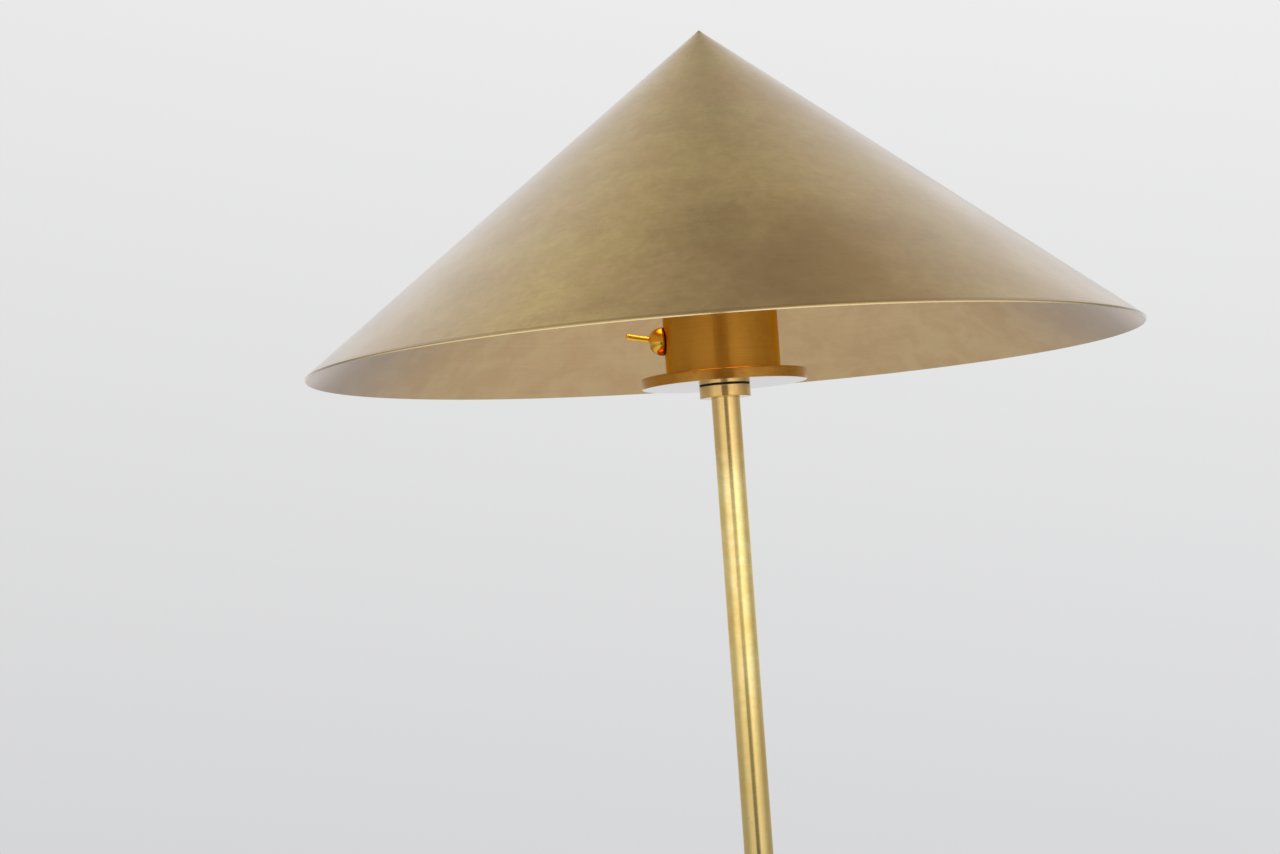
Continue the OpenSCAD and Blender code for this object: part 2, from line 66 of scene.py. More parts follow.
PLATE_LOW, PLATE_TOP, PLATE_R = levels("head_plate")
RIM_DROP = 15.6
RIM = PLATE_LOW + RIM_DROP


# ---- Camera ----

CAMERA_DISTANCE = 1.143
CAMERA_BELOW = math.radians(5.076)
CAMERA_PAN = math.radians(-2.434)
CAMERA_TILT = math.radians(-1.771)
CAMERA_ROLL = math.radians(-4.266)
CAMERA_LENS = 57.9
SENSOR_WIDTH = 36


def add_camera():
    """The photograph's point of view: a little below the rim and rolled by 4.3 degrees."""
    data = bpy.data.cameras.new("camera")
    data.lens = CAMERA_LENS
    data.sensor_width = SENSOR_WIDTH
    data.clip_end = 100
    camera = bpy.data.objects.new("camera", data)
    bpy.context.scene.collection.objects.link(camera)
    toward = Vector((0, math.cos(CAMERA_BELOW), math.sin(CAMERA_BELOW)))
    place = Vector((0, 0, RIM * MM)) - toward * CAMERA_DISTANCE
    right = Vector((1, 0, 0))
    up = Vector((0, -math.sin(CAMERA_BELOW), math.cos(CAMERA_BELOW)))
    toward, right = (toward * math.cos(CAMERA_PAN) + right * math.sin(CAMERA_PAN),
                     right * math.cos(CAMERA_PAN) - toward * math.sin(CAMERA_PAN))
    toward, up = (toward * math.cos(CAMERA_TILT) + up * math.sin(CAMERA_TILT),
                  up * math.cos(CAMERA_TILT) - toward * math.sin(CAMERA_TILT))
    right, up = (right * math.cos(CAMERA_ROLL) + up * math.sin(CAMERA_ROLL),
                 up * math.cos(CAMERA_ROLL) - right * math.sin(CAMERA_ROLL))
    turn = Matrix((right, up, -toward)).transposed().to_4x4()
    camera.matrix_world = Matrix.Translation(place) @ turn
    bpy.context.scene.camera = camera


add_camera()


# ---- Node graphs ----

class Graph:
    """Adds shader nodes to one tree and wires them."""

    def __init__(self, tree):
        self.tree = tree
        tree.nodes.clear()

    def feed(self, socket, value):
        if isinstance(value, bpy.types.NodeSocket):
            self.tree.links.new(value, socket)
        else:
            socket.default_value = value

    def node(self, kind, settings=None, **inputs):
        made = self.tree.nodes.new("ShaderNode" + kind)
        for key, value in (settings or {}).items():
            setattr(made, key, value)
        for key, value in inputs.items():
            self.feed(made.inputs[key.replace("_", " ")], value)
        return made

    def math(self, operation, *values):
        made = self.node("Math", {"operation": operation})
        for socket, value in zip(made.inputs, values):
            self.feed(socket, value)
        return made.outputs[0]

    def plus(self, a, b):
        return self.math("ADD", a, b)

    def times(self, *factors):
        product = factors[0]
        for factor in factors[1:]:
            product = self.math("MULTIPLY", product, factor)
        return product

    def fit(self, value, low, high, out_low=0.0, out_high=1.0, kind="SMOOTHSTEP"):
        made = self.node("MapRange", {"interpolation_type": kind}, Value=value)
        ends = (low, high, out_low, out_high)
        for name, end in zip(("From Min", "From Max", "To Min", "To Max"), ends):
            self.feed(made.inputs[name], end)
        return made.outputs[0]

    def mix(self, factor, a, b, blend="MIX"):
        made = self.node("Mix", {"data_type": "RGBA", "blend_type": blend})
        self.feed(made.inputs[0], factor)
        self.feed(made.inputs[6], a if isinstance(a, bpy.types.NodeSocket) else (*a, 1))
        self.feed(made.inputs[7], b if isinstance(b, bpy.types.NodeSocket) else (*b, 1))
        return made.outputs[2]

    def lerp(self, factor, a, b):
        kept = self.times(a, self.math("SUBTRACT", 1.0, factor))
        return self.plus(kept, self.times(b, factor))

    def noise(self, vector, scale, detail=3.0, roughness=0.5, distortion=0.0):
        made = self.node("TexNoise", None, Vector=vector, Scale=scale, Detail=detail,
                         Roughness=roughness, Distortion=distortion)
        return made.outputs[0]

    def place(self):
        return self.node("TexCoord").outputs["Object"]

    def split(self, vector):
        return self.node("SeparateXYZ", None, Vector=vector).outputs[:3]

    def turning_lines(self, place, pitch, wander):
        """Noise in fine lines around the piece's own Z axis, as a lathe tool leaves."""
        x, y, z = self.split(place)
        flat = self.node("CombineXYZ", None, X=x, Y=y).outputs[0]
        away = self.node("VectorMath", {"operation": "LENGTH"}, Vector=flat).outputs["Value"]
        reach = self.math("MAXIMUM", away, 1e-5)
        ring = self.node("CombineXYZ", None,
                         X=self.times(self.math("DIVIDE", x, reach), wander),
                         Y=self.times(self.math("DIVIDE", y, reach), wander),
                         Z=self.times(reach, 1 / pitch)).outputs[0]
        made = self.node("TexNoise", {"noise_dimensions": "4D"}, Vector=ring,
                         W=self.times(z, 1 / pitch), Scale=1.0, Detail=3.0, Roughness=0.6)
        return made.outputs[0]


MATERIALS = {}


def new_material(name):
    """A material, kept under its name in MATERIALS, and the graph to build it with."""
    material = bpy.data.materials.new(name)
    material.use_nodes = True
    MATERIALS[name] = material
    return Graph(material.node_tree)


def finish_material(graph, shader):
    graph.node("OutputMaterial", None, Surface=shader)


# ---- Metals ----

# Pale tones painted at a glance, outside and on the faces that look down: a painted sheen in place of
# the grazing reflection off the oxide film
SHEEN_TONE = (0.765, 0.71, 0.695)
SHEEN_TONE_UNDER = (0.90, 0.79, 0.74)


def rim_side(g, place):
    """Above zero where a face looks away from the piece's Z axis."""
    normal = g.split(g.node("TexCoord").outputs["Normal"])
    spot = g.split(place)
    return g.plus(g.times(normal[0], spot[0]), g.times(normal[1], spot[1]))


def brass(name, fresh, aged, rough, cloud=12.0, age=(0.35, 0.75), pitch=0.0006, line_tint=0.05,
          line_bump=0.00001, wave_bump=0.0, anisotropy=0.5, spots=0.25, under=None, dull=None,
          coat=0.0, painted_sheen=0.0, patch=None, edge=None, grain=0.0, drawn=False, glance=(1, 1, 1),
          fade=None):
    """Brass with clouds of patina, lines from turning or brushing, and small tarnish spots.

    fresh, aged: colours of the clean and of the clouded metal, and rough: their roughness values
    cloud, age: scale of the clouds, and the noise values between which the metal ages
    pitch, line_tint, line_bump: spacing, contrast and height of the fine lines
    wave_bump: height of the slow waves in hand-spun sheet
    spots: strength of the tarnish spots
    under: faces that look down, painted darker as shade on the shade's inside and given a mirror
    finish on the plate: colour, roughness, normal's z where they start, tone of its stains
    dull: a second, browner tone in wide soft clouds
    coat, painted_sheen: weight of the thin oxide film, and how far a sheen painted at a glance pales
    the colour
    patch: a darker patch: stained metal, and on the stem's top partly a painted shadow: its middle,
    reach, colour and strength
    edge: a bare cut edge at the rim: colour, roughness, top, and colour of a darker band just above it
    grain: contrast of the fine mottling of wiped metal
    drawn: for tube and rod, whose lines run lengthwise
    glance: tint at the outline
    fade: a deeper tone low down: heights where it ends and starts, colour and strength
    """
    g = new_material(name)
    place = g.place()
    clouds = g.noise(place, cloud, 4.0, 0.55)
    fine = g.noise(place, cloud * 9, 3.0, 0.6)
    mottled = g.plus(g.times(clouds, 0.75), g.times(fine, 0.25))
    aging = g.fit(mottled, age[0], age[1])
    lines = g.turning_lines(place, pitch, 1.2)
    colour = g.mix(aging, fresh, aged)
    if dull:
        squat = g.node("Mapping", None, Vector=place, Scale=(1.0, 1.0, 1.7)).outputs[0]
        wide = g.noise(squat, cloud * 1.3, 4.0, 0.55)
        colour = g.mix(g.fit(wide, 0.38, 0.66), colour, dull)
    if grain:
        coarse = g.times(g.noise(place, 130.0, 2.0), 0.6)
        speckle = g.plus(coarse, g.times(g.noise(place, 300.0, 1.0), 0.4))
        value = g.fit(speckle, 0.36, 0.64, 1 - grain, 1 + grain, "LINEAR")
        warmth = g.node("CombineColor", None, Red=value, Green=value, Blue=g.times(value, value))
        colour = g.mix(1.0, colour, warmth.outputs[0], "MULTIPLY")
    if patch:
        middle, reach, brown, strength = patch
        away = g.node("VectorMath", {"operation": "DISTANCE"}, Vector=place)
        g.feed(away.inputs[1], middle)
        ragged = g.plus(away.outputs["Value"], g.fit(mottled, 0.3, 0.7, -0.03, 0.03, "LINEAR"))
        colour = g.mix(g.fit(ragged, 0.1 * reach, reach, strength, 0.0), colour, brown)
    tone = g.fit(lines, 0.3, 0.7, 1 - line_tint, 1 + line_tint, "LINEAR")
    tint = g.node("CombineColor", None, Red=tone, Green=tone, Blue=tone)
    colour = g.mix(1.0, colour, tint.outputs[0], "MULTIPLY")
    if fade:
        fade_end, fade_start, deeper, fade_strength = fade
        low_down = g.fit(g.split(place)[2], fade_end, fade_start, 1.0, 0.0)
        colour = g.mix(g.times(low_down, fade_strength), colour, deeper)
    if spots:
        speck = g.node("TexVoronoi", {"feature": "F1"}, Vector=place, Scale=95.0, Randomness=1.0)
        rare = g.fit(g.noise(place, 31.0, 1.0), 0.60, 0.68)
        near = g.fit(speck.outputs["Distance"], 0.05, 0.16, 1.0, 0.0)
        colour = g.mix(g.times(near, rare, spots), colour, tuple(c * 0.45 for c in aged))
    roughness = g.fit(aging, 0.0, 1.0, rough[0], rough[1], "LINEAR")
    roughness = g.plus(roughness, g.fit(lines, 0.2, 0.8, -0.02, 0.02, "LINEAR"))
    # Faces that look down get their own colour: on the shade's inside a darker tone that is painted
    # shade, with mottled stains; on the plate's underside its mirror finish
    if under:
        under_colour, under_rough, under_start, stain_tone = under
        normal_z = g.split(g.node("TexCoord").outputs["Normal"])[2]
        down = g.fit(normal_z, under_start, under_start - 0.09)
        stained = tuple(c * part for c, part in zip(under_colour, stain_tone))
        stains = g.fit(g.noise(place, cloud * 2.2, 5.0, 0.6, 0.5), 0.36, 0.64)
        below = g.mix(stains, under_colour, stained)
        colour = g.mix(down, colour, g.mix(1.0, below, tint.outputs[0], "MULTIPLY"))
        roughness = g.lerp(down, roughness, under_rough)
    if edge:
        edge_colour, edge_rough, edge_top, above_band_colour = edge
        height = g.split(place)[2]
        outside = g.math("GREATER_THAN", rim_side(g, place), 0.0)
        bare = g.times(g.fit(height, edge_top - 0.0001, edge_top + 0.0001, 1.0, 0.0), outside)
        colour = g.mix(bare, colour, edge_colour)
        # Darker in a thin band just above the edge, on the outside
        off = g.math("ABSOLUTE", g.math("SUBTRACT", height, edge_top + 0.0007))
        above_band = g.times(g.fit(off, 0.0005, 0.0011, 0.55, 0.0), outside)
        colour = g.mix(above_band, colour, above_band_colour)
        roughness = g.lerp(bare, roughness, edge_rough)
    # Painted sheen: at a glance the colour pales toward a pale tone, in place of the grazing
    # reflection
    if painted_sheen:
        facing = g.node("LayerWeight", None, Blend=0.5).outputs["Facing"]
        pale = g.mix(down, SHEEN_TONE, SHEEN_TONE_UNDER) if under else SHEEN_TONE
        colour = g.mix(g.fit(facing, 0.53, 0.88, 0.0, painted_sheen, "LINEAR"), colour, pale)
    shader = g.node("BsdfPrincipled", None, Base_Color=colour, Roughness=roughness, Metallic=1.0,
                    Anisotropic=anisotropy, Anisotropic_Rotation=0.0 if drawn else 0.25,
                    Specular_Tint=(*glance, 1), Coat_Weight=coat, Coat_Roughness=0.28,
                    Coat_IOR=1.55)
    if anisotropy:
        around = g.node("Tangent", {"direction_type": "RADIAL", "axis": "Z"})
        g.feed(shader.inputs["Tangent"], around.outputs[0])
    bump = g.node("Bump", None, Strength=1.0, Distance=line_bump, Height=lines)
    if wave_bump:
        waves = g.noise(place, 9.0, 2.0, 0.4)
        wave = g.node("Bump", None, Strength=1.0, Distance=wave_bump, Height=waves)
        g.feed(bump.inputs["Normal"], wave.outputs[0])
    g.feed(shader.inputs["Normal"], bump.outputs[0])
    finish_material(g, shader.outputs[0])


def steel(name, colour, rough):
    """Plated steel, with a faint grain in colour and gloss."""
    g = new_material(name)
    place = g.place()
    grain = g.noise(place, 160.0, 4.0, 0.6)
    shader = g.node("BsdfPrincipled", None, Metallic=1.0,
                    Base_Color=g.mix(grain, colour, tuple(c * 0.8 for c in colour)),
                    Roughness=g.fit(grain, 0.3, 0.7, rough, rough + 0.12, "LINEAR"))
    finish_material(g, shader.outputs[0])


# Light of the bulb
GLOW_TONE = (1.0, 0.62, 0.26)


def moulded(name, colour, second, rough, grain_scale=220.0, bump=0.00003, coat=0.0, subsurface=0.0,
            glow=0.0):
    """Rubber, plastic, porcelain or glass: two close tones, and a fine skin texture."""
    g = new_material(name)
    place = g.place()
    tone = g.noise(place, grain_scale * 0.15, 4.0, 0.6)
    grain = g.noise(place, grain_scale, 3.0, 0.6)
    shader = g.node("BsdfPrincipled", None, Base_Color=g.mix(tone, colour, second),
                    Roughness=g.fit(grain, 0.3, 0.7, rough, rough + 0.1, "LINEAR"),
                    Coat_Weight=coat, Coat_Roughness=0.08, Subsurface_Weight=subsurface,
                    Subsurface_Scale=0.004, Emission_Color=(*GLOW_TONE, 1), Emission_Strength=glow)
    skin = g.node("Bump", None, Strength=1.0, Distance=bump, Height=grain)
    g.feed(shader.inputs["Normal"], skin.outputs[0])
    finish_material(g, shader.outputs[0])


brass("shade_brass", (0.885, 0.652, 0.25), (0.805, 0.58, 0.22), (0.27, 0.35),
      cloud=21.0, age=(0.30, 0.70), pitch=0.0014, line_tint=0.025,
      line_bump=0.000005, wave_bump=0.0002, anisotropy=0.5, spots=0.0,
      # A sheen is painted on the shade at a glance, in place of its grazing reflection
      dull=(0.79, 0.545, 0.22), coat=0.5, painted_sheen=0.75, grain=0.06,
      # Its inside, the faces that look down, is painted darker: painted shade, with mottled stains
      under=((0.665, 0.48, 0.238), 0.33, -0.5, (0.93, 0.87, 0.86)),
      edge=((1.0, 0.81, 0.41), 0.14, (RIM - 0.25) * MM, (0.42, 0.26, 0.09)),
      patch=((0.045, -0.20, RIM * MM + 0.02), 0.12, (0.44, 0.24, 0.075), 0.7))
brass("solder_brass", (0.74, 0.5, 0.25), (0.62, 0.38, 0.2), (0.3, 0.4), cloud=90.0,
      anisotropy=0.0, line_bump=0.00002)
# The cup's brass is darker and deeper than the stem's: partly a deeper finish, partly painted shade
# for standing under the shade
brass("cup_brass", (0.625, 0.33, 0.052), (0.52, 0.257, 0.034), (0.30, 0.36), cloud=24.0,
      pitch=0.0005, line_tint=0.07, line_bump=0.000003, anisotropy=0.98, spots=0.3,
      glance=(0.92, 0.66, 0.36))
# The plate's brass is darker and deeper too: partly a deeper finish, partly painted shade for standing
# under the shade; its underside is a mirror finish
brass("plate_brass", (0.57, 0.30, 0.058), (0.44, 0.21, 0.035), (0.20, 0.26),
      cloud=30.0, pitch=0.0004, line_tint=0.06, line_bump=0.000003, anisotropy=0.98,
      spots=0.3, under=((0.665, 0.655, 0.665), 0.03, -0.9, (0.99, 0.985, 0.98)))
brass("stem_brass", (0.96, 0.80, 0.37), (0.88, 0.63, 0.21), (0.15, 0.19), cloud=14.0,
      age=(0.40, 0.66), pitch=0.0009, line_tint=0.03, line_bump=0.000003,
      anisotropy=0.5, spots=0.2, grain=0.06, drawn=True,
      # At the stem's top, under the collar, a darker patch: partly tarnish, partly a painted shadow of
      # the plate and collar
      patch=((0, -0.008, 1.238), 0.035, (0.62, 0.38, 0.12), 0.7),
      fade=(1.03, 1.14, (0.64, 0.45, 0.155), 0.65))
brass("turned_brass", (0.70, 0.475, 0.18), (0.58, 0.355, 0.115), (0.09, 0.15),
      cloud=30.0, pitch=0.0004, line_tint=0.06, line_bump=0.000004,
      anisotropy=0.2, spots=0.3)
brass("leg_brass", (0.95, 0.78, 0.35), (0.88, 0.65, 0.23), (0.18, 0.23), cloud=16.0,
      pitch=0.0009, line_tint=0.03, line_bump=0.000003, anisotropy=0.6, spots=0.2,
      grain=0.05, drawn=True)
brass("switch_brass", (0.95, 0.55, 0.08), (0.82, 0.40, 0.04), (0.19, 0.25),
      cloud=90.0, pitch=0.0005, line_tint=0.14, line_bump=0.000008,
      anisotropy=0.3, spots=0.2)
steel("plated_steel", (0.72, 0.71, 0.69), 0.22)
steel("bulb_metal", (0.78, 0.77, 0.75), 0.25)
moulded("pad_rubber", (0.02, 0.02, 0.02), (0.035, 0.034, 0.033), 0.6, bump=0.00008)
moulded("black_nylon", (0.018, 0.018, 0.019), (0.028, 0.028, 0.03), 0.38)
moulded("black_fibre", (0.014, 0.012, 0.011), (0.03, 0.025, 0.022), 0.6, 400.0)
moulded("black_phenolic", (0.02, 0.018, 0.017), (0.035, 0.03, 0.027), 0.3)
moulded("lead_sleeve", (0.16, 0.10, 0.055), (0.22, 0.14, 0.08), 0.7, 900.0, 0.0001)
moulded("brown_core", (0.10, 0.045, 0.02), (0.13, 0.06, 0.03), 0.45)
moulded("blue_core", (0.03, 0.09, 0.30), (0.04, 0.12, 0.36), 0.45)
moulded("porcelain", (0.80, 0.77, 0.70), (0.86, 0.84, 0.78), 0.25, 60.0, 0.00002,
        coat=0.6, subsurface=0.1)
moulded("black_glass", (0.012, 0.01, 0.014), (0.02, 0.015, 0.02), 0.12, 80.0, 0.00001,
        coat=0.5)
moulded("bulb_plastic", (0.78, 0.78, 0.77), (0.83, 0.83, 0.82), 0.38)
moulded("opal", (0.86, 0.86, 0.84), (0.90, 0.90, 0.88), 0.22, 40.0, 0.00001, coat=0.4,
        subsurface=0.2, glow=9.0)

for node_object in frame["nodes"].values():
    for material_slot in node_object.material_slots:
        material_slot.material = MATERIALS[material_slot.material.name.split(".")[0]]


# ---- Turned pieces ----

ARC_STEP = math.radians(15)
SMOOTH_TURN = math.radians(40)


def rounded(corners):
    """A closed profile, anticlockwise in the r-z plane, of corners (r, z) or (r, z, fillet radius)."""
    points = []
    for i, corner in enumerate(corners):
        here = Vector(corner[:2])
        if len(corner) < 3:
            points.append(here)
            continue
        before = Vector(corners[i - 1][:2]) - here
        after = Vector(corners[(i + 1) % len(corners)][:2]) - here
        half = before.angle(after) / 2
        reach = min(corner[2] / math.tan(half), 0.49 * min(before.length, after.length))
        radius = reach * math.tan(half)
        inward = (before.normalized() + after.normalized()).normalized()
        middle = here + inward * radius / math.sin(half)
        start = here + before.normalized() * reach - middle
        sweep = start.angle_signed(here + after.normalized() * reach - middle)
        steps = max(2, math.ceil(abs(sweep) / ARC_STEP))
        for k in range(steps + 1):
            turned_by = start.copy()
            turned_by.rotate(Matrix.Rotation(-sweep * k / steps, 2))
            points.append(middle + turned_by)
    return points


def side_normals(points):
    """For each side of a closed profile, its outward normals at its start and at its end."""
    count = len(points)
    sides = [points[(i + 1) % count] - points[i] for i in range(count)]
    plain = [Vector((side.y, -side.x)).normalized() for side in sides]
    pairs = [[plain[i], plain[i]] for i in range(count)]
    for i in range(count):
        before = i - 1
        if sides[before].length and sides[i].length and sides[before].angle(sides[i]) < SMOOTH_TURN:
            shared = (plain[before] * sides[before].length + plain[i] * sides[i].length).normalized()
            pairs[before][1] = shared
            pairs[i][0] = shared
    return pairs


def turned(name, corners, slot, body, replaces, axis=None, segments=128):
    """A piece turned about an axis, with exact normals. Sides that lie on the axis make no faces."""
    points = rounded(corners)
    pairs = side_normals(points)
    verts, rings = [], []
    for point in points:
        if point.x < 1e-6:
            rings.append([len(verts)] * segments)
            verts.append((0, 0, point.y * MM))
            continue
        rings.append(list(range(len(verts), len(verts) + segments)))
        for j in range(segments):
            turn = TAU * j / segments
            verts.append((point.x * MM * math.cos(turn), point.x * MM * math.sin(turn), point.y * MM))
    faces, normals = [], []
    for i in range(len(points)):
        low, high = rings[i], rings[(i + 1) % len(points)]
        if points[i].x < 1e-6 and points[(i + 1) % len(points)].x < 1e-6:
            continue
        for j in range(segments):
            k = (j + 1) % segments
            face, face_normals = [], []
            for vertex, spoke, normal in ((low[j], j, pairs[i][0]), (low[k], k, pairs[i][0]),
                                          (high[k], k, pairs[i][1]), (high[j], j, pairs[i][1])):
                if vertex in face:
                    continue
                turn = TAU * spoke / segments
                face.append(vertex)
                face_normals.append((normal.x * math.cos(turn), normal.x * math.sin(turn), normal.y))
            faces.append(face)
            normals.extend(face_normals)
    mesh = bpy.data.meshes.new(name)
    mesh.from_pydata(verts, [], faces)
    mesh.polygons.foreach_set("use_smooth", [True] * len(faces))
    mesh.normals_split_custom_set(normals)
    mesh.materials.append(MATERIALS[slot])
    piece = bpy.data.objects.new(name, mesh)
    bpy.context.scene.collection.objects.link(piece)
    if axis:
        piece.matrix_world = axis
    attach(piece, body)
    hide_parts(*replaces)
    return piece


def axis_from(place, direction):
    """A frame at a place, in millimetres, with its Z axis along a direction."""
    turn = Vector(direction).to_track_quat("Z", "Y").to_matrix().to_4x4()
    return Matrix.Translation(Vector(place) * MM) @ turn


def arc(middle, radius, start, end, step=6.0):
    """Points on an arc in the r-z plane; angles in degrees from the r axis, ends included."""
    steps = max(1, math.ceil(abs(end - start) / step))
    angles = [math.radians(start + (end - start) * k / steps) for k in range(steps + 1)]
    return [(middle[0] + radius * math.cos(a), middle[1] + radius * math.sin(a)) for a in angles]


def axis_box(node, axis):
    """Lowest and highest place of a node along an axis frame's Z, in millimetres."""
    back = axis.inverted()
    heights = [(back @ vertex.co).z / MM for vertex in frame["nodes"][node].data.vertices]
    return min(heights), max(heights)


SPINDLE_BORE = 5.02
STEM_BORE = 8.02
BUSHING_BORE = 5.92

# The shade: a spun cone with a softened rim
SHADE_LOW, SHADE_TOP, SHADE_R = levels("shade")
SHEET = 1.2
TIP_HOLE_R = 2.5
SLOPE = math.atan2(SHADE_TOP - RIM, SHADE_R - TIP_HOLE_R)
SHANK_R = 1.22
inner_r = SHADE_R - SHEET * math.sin(SLOPE)
inner_top = RIM + (SHADE_R - SHANK_R) * math.tan(SLOPE) - SHEET / math.cos(SLOPE)
turned("shade_cone", [
    (SHANK_R, inner_top), (inner_r, SHADE_LOW, 0.25), (SHADE_R, RIM, 0.3),
    (TIP_HOLE_R, SHADE_TOP), (SHANK_R, SHADE_TOP)],
    "shade_brass", "head", ["shade"], segments=360)

tip_low, tip_high, tip_r = levels("shade_tip")
tip_ball = 0.5
tip_shank = SHANK_R - 0.02
turned("shade_point", [
    (0, tip_low), (tip_shank, tip_low, 0.2), (tip_shank, SHADE_TOP), (TIP_HOLE_R, SHADE_TOP)]
    + arc((0, tip_high - tip_ball), tip_ball, 90 - math.degrees(SLOPE), 90),
    "solder_brass", "head", ["shade_tip"])

# The plate: a groove for the stop pin runs round under the collar
PLATE_BORE = 5.05
GROOVE_IN = 9.2
GROOVE_OUT = 11.8
groove_top = PLATE_LOW + 2.5
turned("plate_disc", [
    (PLATE_BORE, PLATE_LOW, 0.3), (GROOVE_IN, PLATE_LOW), (GROOVE_IN, groove_top),
    (GROOVE_OUT, groove_top), (GROOVE_OUT, PLATE_LOW), (PLATE_R, PLATE_LOW, 0.5),
    (PLATE_R, PLATE_TOP, 0.7), (PLATE_BORE, PLATE_TOP, 0.3)],
    "plate_brass", "head", ["head_plate"], segments=256)

# Collars, and the running washer between them
collar_low, collar_high, collar_r = levels("collar")
turned("swivel_collar", [
    (STEM_BORE, collar_low), (collar_r, collar_low, 0.5), (collar_r, collar_high, 0.25),
    (SPINDLE_BORE, collar_high), (SPINDLE_BORE, collar_low + 3), (STEM_BORE, collar_low + 3)],
    "turned_brass", "stand", ["collar"], segments=192)

washer_low, washer_high, washer_r = levels("swivel_washer")
turned("running_washer", [
    (SPINDLE_BORE, washer_low), (washer_r, washer_low, 0.2), (washer_r, washer_high, 0.2),
    (SPINDLE_BORE, washer_high)],
    "black_fibre", "stand", ["swivel_washer"])

seat_low, seat_high, seat_r = levels("hub_collar")
turned("stem_collar", [
    (STEM_BORE, seat_low, 0.2), (seat_r, seat_low, 0.4), (seat_r, seat_high, 0.8),
    (STEM_BORE, seat_high, 0.4)],
    "turned_brass", "stand", ["hub_collar"], segments=192)

# The stem
stem_low, stem_high, stem_r = levels("stem")
STEM_INSIDE = 6.5
turned("stem_tube", [
    (STEM_INSIDE, stem_low, 0.2), (stem_r, stem_low, 0.3), (stem_r, stem_high, 0.3),
    (STEM_INSIDE, stem_high, 0.2)],
    "stem_brass", "stand", ["stem"], segments=192)

# The tripod's legs and pads; the legs are aimed from the hub's middle at the feet's
HUB_Z = seat_low - 30
LEG_SEAT = 31.5
LEG_PLAIN = 16
FOOT_AIM = 12
for side in ("back", "left", "right"):
    foot_low, foot_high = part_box("foot_pad_" + side)
    foot_middle = (foot_low + foot_high) / 2 / MM
    aim = Vector((foot_middle.x, foot_middle.y, FOOT_AIM))
    hub_middle = Vector((0, 0, HUB_Z))
    along = axis_from(hub_middle, aim - hub_middle)
    leg_start, leg_end = axis_box("leg_" + side, along)
    turned("leg_rod_" + side, [
        (0, leg_start), (4, leg_start, 0.5), (4, LEG_SEAT), (7.5, LEG_SEAT, 0.6),
        (5, leg_end - LEG_PLAIN, 6), (5, leg_end, 0.5), (0, leg_end)],
        "leg_brass", "stand", ["leg_" + side], axis=along)
    pad_axis = Matrix.Translation((aim.x * MM, aim.y * MM, 0))
    turned("pad_disc_" + side, [
        (0, 0.6), (6.6, 0.6), (7.2, 0, 0.2), (10, 0, 0.6), (10, 3.5, 0.3), (0, 3.5)],
        "pad_rubber", "stand", ["foot_pad_" + side], axis=pad_axis)

# The cord inlet in the hub's underside
cap_low, cap_high, cap_r = levels("hub_cap")
turned("hub_cover", [
    (SPINDLE_BORE, cap_low), (cap_r, cap_low, 0.5), (cap_r, cap_low + 2.5), (10.98, cap_low + 2.5),
    (10.98, cap_high, 0.3), (SPINDLE_BORE, cap_high)],
    "turned_brass", "stand", ["hub_cap"])
bush_low, bush_high, bush_r = levels("cord_inlet_bush")
turned("inlet_bush", [
    (3.7, bush_low, 1.0), (bush_r, bush_low, 0.8), (bush_r, bush_low + 2, 0.2), (5, bush_low + 2),
    (5, bush_high, 0.4), (3.7, bush_high, 0.4)],
    "black_nylon", "stand", ["cord_inlet_bush"])

# The switch: a soft washer that follows the cup, the dome nut and the lever
dome_low, dome_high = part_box("switch_dome_nut")
SWITCH_Z = (dome_low.z + dome_high.z) / 2 / MM
DOME_R = (dome_high.z - dome_low.z) / 2 / MM
CUP_R = levels("cup")[2]
out = axis_from((0, 0, SWITCH_Z), (-1, 0, 0))
seal_in, seal_out = axis_box("switch_seal", out)
seal_low, seal_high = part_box("switch_seal")
SEAL_R = (seal_high.z - seal_low.z) / 2 / MM
GASKET = 0.55


def seat(piece, level, gap, reach):
    """Bends the flat foot of a piece on the switch's axis to lie a gap off the cup's round wall."""
    for vertex in piece.data.vertices:
        if vertex.co.z < (level + reach) * MM:
            side = (out.to_3x3() @ vertex.co).y
            vertex.co.z = min(vertex.co.z, math.sqrt((CUP_R * MM) ** 2 - side ** 2) + gap * MM)


gasket = turned("switch_gasket", [
    (BUSHING_BORE, seal_in), (SEAL_R, seal_in), (SEAL_R, seal_out, 0.1), (BUSHING_BORE, seal_out)],
    "black_fibre", "head", ["switch_seal"], axis=out)
seat(gasket, seal_in, 0.0, 0.1)
seat(gasket, seal_out, GASKET, 0.2)

dome_in, dome_out = axis_box("switch_dome_nut", out)
DOME_SKIRT = 0.5
MOUTH_R = 3.8
THREAD_END = 4.5
mouth = math.degrees(math.acos(MOUTH_R / DOME_R))
dome = turned("dome_nut", [(BUSHING_BORE, dome_in), (DOME_R, dome_in, 0.2)]
              + arc((0, dome_in + DOME_SKIRT), DOME_R, 0, mouth - 2, 3.0)
              + [(MOUTH_R, dome_out, 0.25), (MOUTH_R, dome_in + THREAD_END),
                 (BUSHING_BORE, dome_in + THREAD_END)],
              "switch_brass", "head", ["switch_dome_nut"], axis=out, segments=160)
seat(dome, dome_in, GASKET, 0.21)

